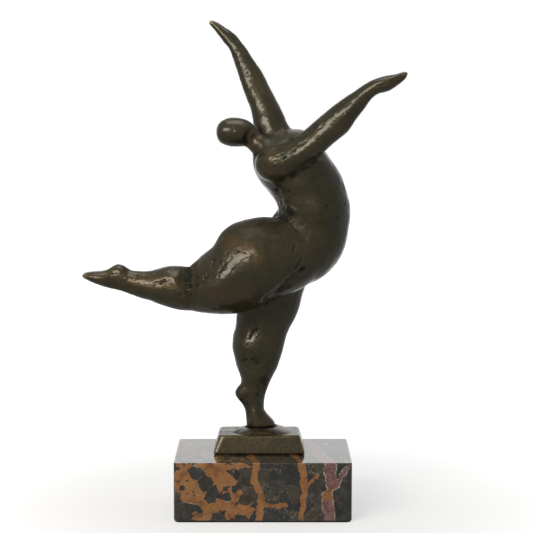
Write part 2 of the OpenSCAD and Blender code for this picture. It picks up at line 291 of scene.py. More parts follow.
def lattice(cell, seed):
    """A number from 0 to 1 for each whole-number cell."""
    x, y, z = np.moveaxis(cell, -1, 0)
    n = x * 73856093 ^ y * 19349663 ^ z * 83492791 ^ seed * 2654435761
    n = (n ^ (n >> 13)) * 1274126177 & 0xFFFFFFFF
    n = (n ^ (n >> 16)) * 2246822519 & 0xFFFFFFFF
    return (n ^ (n >> 15)).astype(float) % 65536 / 65536


def noise(points, size, seed):
    """Smooth noise from -1 to 1 with features about size across."""
    p = points / size
    cell = np.floor(p).astype(np.int64)
    f = p - cell
    f = f * f * f * (f * (f * 6 - 15) + 10)
    total = 0
    for corner in np.ndindex(2, 2, 2):
        weight = np.prod([f[:, k] if corner[k] else 1 - f[:, k] for k in range(3)], axis=0)
        total = total + weight * lattice(cell + np.array(corner), seed)
    return total * 2 - 1


def rising(values, start, end):
    """0 below start, 1 above end and a smooth step between them."""
    t = np.clip((values - start) / (end - start), 0, 1)
    return t * t * (3 - 2 * t)


# ---------------------------------------------------------------- modelling strokes

# A stroke's line is points (x, z) in millimetres on the plane through the figure's middle, as
# seen from EYE, which is about where the camera stands. It acts on the side that faces forward.
EYE = np.array([2.5, -1156, 294]) * MM


def seen_from_front(points):
    """Where each point shows on the plane through the figure's middle, as x and z."""
    s = -EYE[1] / (points[:, 1] - EYE[1])
    return EYE[[0, 2]] + (points[:, [0, 2]] - EYE[[0, 2]]) * s[:, None]


def near_line(flat, line, radius):
    """1 on the line, falling to 0 beyond the radius."""
    best = np.full(len(flat), np.inf)
    line = np.array(line) * MM
    for a, b in zip(line[:-1], line[1:]):
        span = b - a
        t = np.clip((flat - a) @ span / (span @ span), 0, 1)
        best = np.minimum(best, np.linalg.norm(flat - a - t[:, None] * span, axis=1))
    return np.exp(-(best / (radius * MM)) ** 2)


# Each stroke: line, radius and height in millimetres
FRONT_STROKES = [
    # crease under the arm, and the ridge along the shoulder
    ([(14, 229), (20, 232), (30, 239), (38, 246)], 3.6, -1.2),
    ([(3, 241), (14, 247), (28, 257), (42, 269)], 5.0, -0.5),
    # top of the shoulder and the neck
    ([(-4, 247), (3, 250), (12, 252.5), (19, 258)], 1.9, -1.2),
    ([(-6, 253), (-2, 257)], 2.2, 0.5),
    # facet where the head meets the neck
    ([(-7, 266), (-10.5, 261), (-12, 255.5)], 1.9, -1.1),
    # waist folds
    ([(7, 204), (14, 204.5), (19, 206)], 2.8, -0.9),
    ([(28, 197), (36, 195)], 7, -0.7),
    ([(-50, 163), (-36, 174)], 7, -0.9),
    ([(-44, 152), (-28, 161)], 7, 0.9),
    ([(10, 223), (12.5, 214), (17, 207)], 2.2, -1.0),
    ([(17, 218), (18, 213), (22, 208.5)], 2.0, 0.8),
    # hip and groin
    ([(2, 147), (10, 153), (18, 161), (28, 168)], 2.2, -1.6),
    ([(28, 168), (36, 175)], 4.5, -0.7),
    ([(-50, 156), (-34, 168), (-17, 181)], 9, -1.1),
    ([(22, 193), (34, 191)], 13, -1.6),
    ([(25, 211), (36, 209)], 9, 1.1),
    ([(-26, 190), (-14, 195), (2, 196)], 8, -0.7),
    # knee
    ([(-50, 173), (-51, 161), (-50, 151)], 5.5, -0.8),
    ([(-61, 162), (-59, 154), (-57, 148)], 3.6, 0.7),
    ([(-42, 167), (-39, 159), (-41, 151)], 4.5, 0.6),
    # calf and foot
    ([(-65, 158), (-80, 157), (-94, 160), (-103, 164)], 5.0, -0.6),
    ([(-106, 159), (-100, 158), (-92, 155)], 2.0, -0.5),
    ([(-88, 164), (-94, 167)], 2.2, -0.6),
    # standing leg
    ([(-13, 114), (-8, 113)], 6.0, 1.1),
    ([(-12, 126), (-2, 124)], 6.0, -0.35),
    ([(-17, 102), (-6, 100)], 3.5, -0.5),
    ([(-8.5, 92), (-7, 82), (-6, 72), (-6, 63)], 3.8, 0.7),
    ([(-17, 82), (-14, 81)], 3.5, 0.8),
    ([(-12, 79), (-9.5, 71), (-9.5, 64)], 1.6, -0.6),
    ([(0, 91), (-1, 79), (-1, 67)], 2.4, -0.6),
    # hands
    ([(-29, 331), (-24, 325), (-20, 318)], 1.4, 0.5),
    ([(78, 294), (88, 297), (95, 301)], 1.4, -0.5),
    # far arm
    ([(-20, 319), (-14, 309), (-9, 299), (-5, 287), (-2, 276)], 4.0, -0.4),
]

# What smoothing takes off the figure all round, in millimetres, and the sculptor's strokes put back
SWELL = 0.45

# Single cuts and pits that hold dark wax: line, radius and depth in millimetres
CUTS = [
    ([(43, 212), (43.5, 212.4)], 0.9, 0.6), ([(55.5, 213.4), (55.9, 213.8)], 0.8, 0.5),
    ([(46, 233), (46.3, 233)], 0.7, 0.5), ([(50, 204.5), (50.6, 204.7)], 0.8, 0.5),
    ([(49, 184.6), (49.3, 185)], 0.7, 0.5), ([(18, 222), (18.6, 222.4)], 0.8, 0.5),
    ([(22.5, 169), (27, 175.5)], 0.8, 0.7), ([(21, 181.5), (22.3, 185)], 0.7, 0.5),
    ([(-6.5, 125.5), (-4, 126.8)], 1.1, 0.8),
    ([(-9, 121), (-7.5, 124.5)], 0.8, 0.6), ([(-10.6, 115), (-10.2, 115.2)], 0.6, 0.4),
    ([(-14, 104.5), (-11, 105.5)], 0.7, 0.4), ([(-8, 105), (-4, 107)], 0.7, 0.4),
    ([(-58, 150.5), (-57, 151)], 0.8, 0.4), ([(-52.5, 168), (-51, 169)], 0.8, 0.4),
    ([(-71, 159), (-68, 161)], 0.9, 0.6), ([(-42, 159), (-38.5, 164.5)], 0.9, 0.6),
    ([(-30, 167), (-26, 172)], 0.9, 0.6), ([(-36, 173), (-34, 176)], 0.8, 0.5),
    ([(21, 250.5), (22, 251.5)], 0.8, 0.5), ([(14, 244.5), (15.5, 245.5)], 0.7, 0.5),
    ([(-20, 254.4), (-18, 254)], 0.7, 0.4),
]

# Where the surface is left scarred by the modelling tools: line, radius and strength
SCARS = [
    ([(-50, 156), (-34, 167), (-17, 181)], 6.5, 1.0),
    ([(-64, 161), (-76, 159)], 4.0, 0.6),
    ([(-84, 160), (-94, 161)], 4.0, 0.35),
    ([(-12, 126), (-5, 125)], 4.5, 0.4),
    ([(-12, 114), (-8, 112)], 4.0, 0.25),
    ([(-10, 105), (4, 102)], 4.0, 0.5),
    ([(2, 241), (14, 247), (26, 255)], 4.5, 0.6),
    ([(34, 263), (40, 268)], 5.0, 0.6),
    ([(50, 275), (58, 281)], 4.5, 0.4),
    ([(-19, 317), (-13, 307), (-8, 293)], 4.5, 0.45),
    ([(11, 221), (16, 211), (24, 205)], 6.0, 0.6),
    ([(20, 165), (28, 177)], 4.5, 0.8),
    ([(43, 213), (55, 215)], 3.0, 0.4),
    ([(16, 222), (22, 219)], 2.5, 0.6),
    ([(-14, 82), (-9, 67)], 3.5, 0.4),
    ([(-90, 161), (-104, 165)], 4.0, 0.5),
]

# Patches painted golden brown: where handling has rubbed the patina back, and along the calf, the
# neck and the near shoulder also painted highlight where the key light falls: line and radius
RUBBED_AND_SHEEN = [
    ([(-10, 183), (-6, 177)], 6.5),
    ([(-22, 189), (-18, 184)], 4.5),
    ([(-61, 163), (-56, 147)], 3.2),
    ([(-66, 159), (-82, 160), (-98, 163)], 6.0),
    ([(-106, 166), (-100, 167)], 4.0),
    ([(-6, 257), (-12, 254)], 4.0),
    ([(2, 237), (6, 247)], 4.5),
    ([(-34, 151), (-10, 149)], 5.0),
    ([(6, 223), (10, 213)], 3.0),
]

# Where the wax has gone dull: line, radius and how far
DULL = [
    ([(-28, 190), (-14, 195), (4, 196)], 11, 0.9),
    ([(22, 201), (33, 203)], 9, 1.0),
    ([(-51, 171), (-51, 150)], 5, 0.9),
    ([(4, 254), (16, 256)], 7, 0.6),
]

# The brassy tips of both hands and the raised foot: point x, y, z and radius
TIPS = [(-38, 42, 340, 3.6), (97, -40, 304, 4.5), (-124, -13, 165.5, 6.5)]

# The way the modelling marks run, and how far space is squeezed along it, which draws them out
SCRATCH_WAY = np.array([0.80, 0.0, 0.60])
SCRATCH_SQUEEZE = 0.4
SCRATCH_HEIGHT = 0.42       # height of the torn marks on the figure, in millimetres

# The figure's uneven surface: height and size of each noise in millimetres, and its seed
UNEVEN = [(0.34, 13, 1), (0.17, 5.5, 2), (0.06, 2.2, 3)]

# How many steps along the mesh a hollow, a fine mark and a proud place are measured over
HOLLOW_REACH, FINE_REACH, PROUD_REACH = 14, 2, 24


def scratched(points):
    """Torn, flaked modelling marks: dark cracks, pits and raised flakes, about -1 to 1."""
    along = points @ SCRATCH_WAY
    squeezed = points - np.outer(along, SCRATCH_WAY) * SCRATCH_SQUEEZE
    lines = np.clip(1 - 4 * np.abs(noise(squeezed, 2.6 * MM, 21)), 0, 1)
    lines *= rising(noise(points, 3.6 * MM, 22), 0.0, 0.3)
    holes = rising(noise(squeezed, 1.7 * MM, 23), 0.35, 0.6)
    flakes = noise(squeezed, 3.0 * MM, 24)
    return 0.5 * flakes - 1.0 * lines - 1.0 * holes


def sculpt(points, quads, edges):
    """Strokes, scars and the uneven modelled surface, with the rubbing, dark wax, painted shade and
    painted highlight that follow them.
    """
    normals = normals_of(points, quads)
    flat = seen_from_front(points)
    facing = np.clip(-normals[:, 1] * 4, 0, 1)
    height = np.zeros(len(points))
    for line, radius, lift in FRONT_STROKES:
        height += near_line(flat, line, radius) * facing * lift
    cut = np.zeros(len(points))
    for line, radius, depth in CUTS:
        here = near_line(flat, line, radius) * facing
        height -= here * depth
        cut = np.maximum(cut, here)
    scar = np.zeros(len(points))
    for line, radius, strength in SCARS:
        scar = np.maximum(scar, near_line(flat, line, radius) * facing * strength)
    # patches of scars on the back, which no stroke reaches
    behind = rising(noise(points, 22 * MM, 11), 0.25, 0.7) * rising(normals[:, 1], 0.1, 0.5)
    scar = np.maximum(scar, 0.6 * behind)
    ragged = np.clip(scar * (1.15 + 0.7 * noise(points, 5 * MM, 12)), 0, 1)
    uneven = sum(rise * noise(points, size * MM, seed) for rise, size, seed in UNEVEN)
    height += SWELL + uneven + SCRATCH_HEIGHT * ragged * scratched(points)
    points = points + normals * height[:, None] * MM
    normals = normals_of(points, quads)
    # wax gathers dark in cuts and hollows, and the hollows and creases are also painted dark as
    # painted shade; what stands proud is rubbed
    hollow = rising(hollowness(points, normals, edges, HOLLOW_REACH), 0.05 * MM, 0.30 * MM)
    fine = hollowness(points, normals, edges, FINE_REACH)
    hollow = np.maximum(hollow, ragged * rising(fine, 0.012 * MM, 0.07 * MM))
    hollow = np.maximum(hollow, rising(cut, 0.35, 0.8))
    proud = rising(-hollowness(points, normals, edges, PROUD_REACH), 0.15 * MM, 0.7 * MM)
    rub_and_sheen = 0.35 * proud
    for line, radius in RUBBED_AND_SHEEN:
        rub_and_sheen = np.maximum(rub_and_sheen, near_line(flat, line, radius) * facing)
    rub_and_sheen = np.clip(rub_and_sheen * (1 + 0.6 * noise(points, 4 * MM, 13)), 0, 1)
    tip = np.zeros(len(points))
    for x, y, z, radius in TIPS:
        away = np.linalg.norm(points / MM - (x, y, z), axis=1)
        tip = np.maximum(tip, rising(-away, -1.3 * radius, -0.5 * radius))
    dull = np.zeros(len(points))
    for line, radius, strength in DULL:
        dull = np.maximum(dull, rising(near_line(flat, line, radius), 0.0, 0.5) * strength)
    return points, {"rub_and_sheen": rub_and_sheen, "hollow": hollow, "tip": tip, "scar": ragged, "dull": dull}


points, wear_and_painted_light = sculpt(points, quads, edges)


# ---------------------------------------------------------------- pieces

def new_mesh(name, points, faces):
    """A new object in the scene with a mesh of these points and faces."""
    mesh = bpy.data.meshes.new(name)
    mesh.from_pydata(points.tolist(), [], faces.tolist())
    mesh.update()
    obj = bpy.data.objects.new(name, mesh)
    scene.collection.objects.link(obj)
    return obj


def split_by_casting(points, quads):
    """The skin's faces, given to the casting that each lies nearest."""
    cad_points, cad_corners, owner = joined_triangles([nodes[n] for n in CASTINGS])
    tree = BVHTree.FromPolygons(cad_points.tolist(), cad_corners.tolist())
    centre = points[quads].mean(axis=1)
    nearest = [tree.find_nearest(Vector(c))[2] for c in centre]
    return owner[np.array(nearest)]


LEAST_RIM = 8       # shared vertices that make two castings neighbours


def snap_seams(points, quads, label):
    """Slides the vertices where two castings meet onto one flat plane, and returns the points."""
    points = points.copy()
    used = [np.zeros(len(points), bool) for _ in CASTINGS]
    for k in range(len(CASTINGS)):
        used[k][quads[label == k].ravel()] = True
    for a in range(len(CASTINGS)):
        for b in range(a + 1, len(CASTINGS)):
            rim = np.nonzero(used[a] & used[b])[0]
            if len(rim) < LEAST_RIM:
                continue
            centre = points[rim].mean(axis=0)
            plane = np.linalg.svd(points[rim] - centre)[2][2]
            points[rim] -= np.outer((points[rim] - centre) @ plane, plane)
    return points


def closed_piece(name, points, quads, normals, wear_and_painted_light):
    """One casting's part of the skin, its open ends closed by flat caps."""
    used, packed = np.unique(quads, return_inverse=True)
    packed = packed.reshape(quads.shape)
    obj = new_mesh(name, points[used], packed)
    mesh = obj.data
    for key, values in wear_and_painted_light.items():
        layer = mesh.attributes.new(key, "FLOAT", "POINT")
        layer.data.foreach_set("value", values[used].astype(np.float32))
    edit = bmesh.new()
    edit.from_mesh(mesh)
    open_edges = [e for e in edit.edges if e.is_boundary]
    caps = bmesh.ops.holes_fill(edit, edges=open_edges)["faces"]
    bmesh.ops.triangulate(edit, faces=caps)
    edit.to_mesh(mesh)
    edit.free()
    mesh.shade_smooth()
    mesh.normals_split_custom_set_from_vertices(normals[used].tolist())
    return obj


label = split_by_casting(points, quads)
points = snap_seams(points, quads, label)
normals = normals_of(points, quads)
skins = {}
for index, name in enumerate(CASTINGS):
    skins[name] = closed_piece(name + "_skin", points, quads[label == index], normals, wear_and_painted_light)


# ---------------------------------------------------------------- bronze base

BASE_VOXEL = 0.5 * MM
BASE_BAND = 4 * BASE_VOXEL
BASE_ROUNDING = 0.75 * MM   # spread of the blur that rounds the base's edges
BASE_SMOOTHING = 3
LOWER_EDGE = 1.6 * MM       # height of the uneven strip along the base's lower edge
FAR = 0.02                  # metres, beyond which the foot has no effect on the base


def base_skin():
    """The cast base: soft rubbed edges, a ragged lower edge and a torn weld at the foot."""
    points, corners = triangles_of(nodes["bronze_base"])
    low, shape = room_for(points, BASE_VOXEL)
    block = block_of(level_set(points, corners, BASE_VOXEL, BASE_BAND), low, shape, 0)
    block = blurred(block, BASE_ROUNDING / BASE_VOXEL)
    points, quads = surface_of(grid_of(block, low, BASE_VOXEL))
    edges = edges_of(quads)
    points = smooth(points, edges, BASE_SMOOTHING)
    normals = normals_of(points, quads)
    floor = points[:, 2].min()
    (x0, y0, _), (x1, y1, _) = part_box("bronze_base")
    middle = np.array([(x0 + x1) / 2, (y0 + y1) / 2])
    # only the outside is worked on: the sides that face away from the middle, and the top
    outer = rising((normals[:, :2] * (points[:, :2] - middle)).sum(axis=1), -0.001, 0.002)
    outer = np.maximum(outer, rising(normals[:, 2], 0.2, 0.6))
    outer *= rising(points[:, 2], floor + 0.1 * MM, floor + 0.8 * MM)
    foot = BVHTree.FromObject(skins["standing_leg"], bpy.context.evaluated_depsgraph_get())
    reach = np.array([foot.find_nearest(Vector(p), FAR)[3] or FAR for p in points])
    seam = rising(-reach, -2.4 * MM, -0.9 * MM) * outer
    up = rising(normals[:, 2], 0.5, 0.9)
    torn = up * rising(noise(points, 9 * MM, 41), -0.1, 0.5)
    torn = torn * rising(-points[:, 0], 10 * MM, 22 * MM)
    torn = np.maximum(torn, 0.7 * rising(-reach, -3.5 * MM, -1.2 * MM))
    height = 0.12 * noise(points, 11 * MM, 42)
    grains = 0.03 * noise(points, 2.4 * MM, 43) + 0.045 * noise(points, 1.2 * MM, 44)
    weld = seam * rising(noise(points, 2.5 * MM, 45), -0.5, 0.3)
    height += (1 - up) * grains
    height += 0.38 * torn * scratched(points) - 0.5 * weld
    points = points + normals * (height * outer)[:, None] * MM
    ragged = 0.45 + 0.6 * noise(points * (1, 1, 0), 9 * MM, 46)
    strip = rising(-points[:, 2], -floor - LOWER_EDGE, -floor)
    points[:, 2] += strip * np.clip(ragged, 0, 1) * 0.7 * MM * rising(outer, 0.0, 0.5)
    normals = normals_of(points, quads)
    sharp = rising(-hollowness(points, normals, edges, 10), 0.05 * MM, 0.20 * MM)
    patchy = 0.65 + 0.6 * noise(points, 4 * MM, 47) + 0.3 * noise(points, 1.3 * MM, 48)
    rubbed = sharp * outer * patchy
    rubbed *= rising(reach, 7 * MM, 10 * MM)
    rubbed *= rising(points[:, 2], floor + 1.0 * MM, floor + 2.5 * MM)
    hollow = rising(hollowness(points, normals, edges, 5), 0.02 * MM, 0.14 * MM)
    rubbed = np.clip(rubbed, 0, 1)
    # the fine hollows of the cast hold dark wax; the band round the foot is painted dark, both a
    # weld and painted shade where the foot stands on the base
    wear_and_painted_light = {"rub_and_sheen": np.maximum(0.25 * outer, rubbed), "hollow": np.maximum(hollow, seam),
            "tip": 0.5 * rubbed, "scar": torn}
    return closed_piece("bronze_base_skin", points, quads, normals, wear_and_painted_light)


skins["bronze_base"] = base_skin()


# ---------------------------------------------------------------- material helpers

def node_adder(owner):
    """Empties a material's or world's node tree, and returns a function that adds a node to it."""
    owner.use_nodes = True
    tree = owner.node_tree
    tree.nodes.clear()

    def add(kind, sockets=None, **settings):
        node = tree.nodes.new("ShaderNode" + kind)
        for key, value in settings.items():
            setattr(node, key, value)
        for key, value in (sockets or {}).items():
            if isinstance(value, bpy.types.NodeSocket):
                tree.links.new(value, node.inputs[key])
            else:
                node.inputs[key].default_value = value
        return node

    return add


def material(name):
    """A new material, with the function that adds its nodes."""
    mat = bpy.data.materials.new(name)
    return mat, node_adder(mat)


def ramp(add, factor, stops):
    """A colour ramp through (position, colour) stops."""
    node = add("ValToRGB", {"Fac": factor})
    node.color_ramp.interpolation = "EASE"
    elements = node.color_ramp.elements
    while len(elements) < len(stops):
        elements.new(0.5)
    for element, (position, colour) in zip(elements, stops):
        element.position = position
        element.color = (*colour, 1)
    return node.outputs["Color"]


def mixed(add, factor, a, b, blend="MIX"):
    """Colour a, with as much of colour b over it as the factor says."""
    a, b = ((*colour, 1) if isinstance(colour, tuple) else colour for colour in (a, b))
    return add("Mix", {0: factor, 6: a, 7: b}, data_type="RGBA", blend_type=blend).outputs[2]


def maths(add, operation, a, b=0.0, c=0.0, clamp=False):
    return add("Math", {0: a, 1: b, 2: c}, operation=operation, use_clamp=clamp).outputs[0]


def vector_maths(add, operation, a, b):
    return add("VectorMath", {0: a, 1: b}, operation=operation).outputs[0]


def scaled(add, vector, factor):
    return add("VectorMath", {0: vector, "Scale": factor}, operation="SCALE").outputs[0]


def length(add, vector):
    return add("VectorMath", {0: vector}, operation="LENGTH").outputs["Value"]


def in_millimetres(add):
    """The place on the piece, in millimetres."""
    where = add("TexCoord").outputs["Object"]
    return vector_maths(add, "MULTIPLY", where, (1000, 1000, 1000))


def cloud(add, where, size, detail=5, roughness=0.6):
    """Noise from 0 to 1 with features about size millimetres across."""
    return add("TexNoise", {"Vector": where, "Scale": 1 / size, "Detail": detail,
                            "Roughness": roughness}).outputs["Fac"]


def cells(add, where, size, feature, output):
    """One output of a pattern of irregular cells about size millimetres across."""
    node = add("TexVoronoi", {"Vector": where, "Scale": 1 / size, "Randomness": 1}, feature=feature)
    return node.outputs[output]


def level(add, value, start, end, low=0.0, high=1.0):
    """A smooth step from low at start to high at end."""
    sockets = {"Value": value, "From Min": start, "From Max": end, "To Min": low, "To Max": high}
    return add("MapRange", sockets, interpolation_type="SMOOTHSTEP").outputs["Result"]


# ---------------------------------------------------------------- bronze

OLIVE = (0.046, 0.042, 0.017)
BROWN = (0.073, 0.056, 0.022)
GOLDEN = (0.100, 0.062, 0.020)
# near black: dark wax, specks and pits, and painted shade in the hollows
DARK_WAX_AND_SHADE = (0.012, 0.011, 0.008)
BRASS = (0.42, 0.33, 0.12)
PIT_SPACING = 1 / 0.22      # millimetres


def bronze():
    """Cast bronze under a dark olive-brown patina and wax, rubbed golden where it is handled, with
    painted highlight in some golden patches and painted shade in its hollows.
    """
    mat, add = material("patinated_bronze")
    where = in_millimetres(add)
    broad = cloud(add, where, 26, 5)
    blotch = cloud(add, where, 7, 6, 0.65)
    fine = cloud(add, where, 2.2, 8, 0.65)
    grain = cloud(add, where, 0.7, 4)
    rub_and_sheen, hollow, tip, scar, dull = [add("Attribute", attribute_name=key).outputs["Fac"]
                                    for key in ("rub_and_sheen", "hollow", "tip", "scar", "dull")]
    tone = maths(add, "MULTIPLY_ADD", blotch, 0.45, maths(add, "MULTIPLY", broad, 0.55))
    colour = mixed(add, level(add, tone, 0.42, 0.60), OLIVE, BROWN)
    # golden where rubbed, and painted highlight where the patches follow the highlights
    worn_and_sheen = maths(add, "MULTIPLY", rub_and_sheen, level(add, fine, 0.30, 0.60, 0.45, 1.0))
    colour = mixed(add, worn_and_sheen, colour, GOLDEN)
    speck = level(add, fine, 0.30, 0.42, 1.0, 0.0)
    colour = mixed(add, maths(add, "MULTIPLY", speck, 0.7), colour, DARK_WAX_AND_SHADE)
    # hollows painted near black: dark wax in cuts, and painted shade in creases and hollows
    colour = mixed(add, maths(add, "MULTIPLY", hollow, 0.85), colour, DARK_WAX_AND_SHADE)
    bright = maths(add, "MULTIPLY", tip, level(add, fine, 0.32, 0.58, 0.35, 1.0))
    colour = mixed(add, bright, colour, BRASS)
    pit = level(add, cells(add, where, PIT_SPACING, "F1", "Distance"), 0.035, 0.075)
    colour = mixed(add, maths(add, "SUBTRACT", 1.0, pit), colour, DARK_WAX_AND_SHADE)
    rough = level(add, fine, 0.25, 0.75, 0.46, 0.30)
    rough = maths(add, "MULTIPLY_ADD", hollow, 0.2, rough)
    rough = maths(add, "MULTIPLY_ADD", dull, 0.22, rough)
    wax = maths(add, "MULTIPLY_ADD", maths(add, "MAXIMUM", dull, hollow), -0.5, 0.6)
    height = maths(add, "MULTIPLY_ADD", grain, 0.05, maths(add, "MULTIPLY", fine, 0.35))
    torn = maths(add, "MULTIPLY", scar, level(add, cloud(add, where, 1.3, 6, 0.7), 0.35, 0.65))
    height = maths(add, "MULTIPLY_ADD", torn, 0.4, height)
    height = maths(add, "MULTIPLY_ADD", pit, 0.8, height)
    bump = add("Bump", {"Height": height, "Strength": 0.5, "Distance": 0.35 * MM})
    shader = add("BsdfPrincipled", {
        "Base Color": colour, "Metallic": 0.5, "Roughness": rough, "Normal": bump.outputs[0],
        "Specular IOR Level": 0.5, "Coat Weight": wax, "Coat Roughness": 0.13})
    add("OutputMaterial", {"Surface": shader.outputs[0]})
    return mat


# ---------------------------------------------------------------- marble

# On the block's front, as x and height over the felt in millimetres: the solid ochre bands, the
# ochre ground that holds small stones, and the purple band, each as start, end and half width
BANDS = [
    ((-4, 42), (-6, 27), 2.5), ((-6, 27), (-1, 18), 2.4), ((-1, 18), (-3, -2), 2.6),
    ((-1, 11), (15, 10.5), 1.7), ((26, 42), (28.5, 24), 2.6), ((28.5, 24), (26, -2), 2.3),
    ((28, 22), (38, 32), 1.1)]
GROUND = [
    ((-54, 30), (-42, 6), 8), ((-32, 34), (-20, 20), 6.5), ((-42, 14), (-10, 8), 5.5),
    ((-60, 38), (-10, 38), 2.5), ((-20, 26), (-22, 4), 4)]
PURPLE = [
    ((45, 42), (47.5, 25), 4.2), ((47.5, 25), (43.5, 17), 1.9), ((43.5, 17), (45, -2), 3.6),
    ((49, 24), (58, 38), 1.5)]


STONE, SMALL_STONE = 13, 5.5        # sizes of the stones in millimetres
SLANT = 0.22                        # how far the bands move left for each step back
CHARCOAL = (0.030, 0.030, 0.028)
GREEN_GREY = (0.042, 0.044, 0.036)
UMBER = (0.058, 0.048, 0.030)
WARM_GREY = (0.036, 0.034, 0.032)
BLACK = (0.020, 0.017, 0.014)
PALE = (0.52, 0.46, 0.36)


def bands(add, where, capsules):
    """Distance in millimetres outside the nearest of several capsules in the XZ plane."""
    nearest = None
    for (ax, az), (bx, bz), half_width in capsules:
        span = (bx - ax, 0, bz - az)
        square = span[0] ** 2 + span[2] ** 2
        from_a = vector_maths(add, "SUBTRACT", where, (ax, 0, az))
        along = add("VectorMath", {0: from_a, 1: tuple(s / square for s in span)},
                    operation="DOT_PRODUCT").outputs["Value"]
        along = maths(add, "ADD", along, 0.0, clamp=True)
        foot = scaled(add, span, along)
        away = maths(add, "SUBTRACT", length(add, vector_maths(add, "SUBTRACT", from_a, foot)),
                     half_width)
        nearest = away if nearest is None else maths(add, "MINIMUM", nearest, away)
    return nearest


def warped(add, where, size, amount):
    """The place, pushed about by noise."""
    push = add("TexNoise", {"Vector": where, "Scale": 1 / size, "Detail": 4,
                            "Roughness": 0.55}).outputs["Color"]
    push = vector_maths(add, "SUBTRACT", push, (0.5, 0.5, 0.5))
    return vector_maths(add, "ADD", where, scaled(add, push, amount))


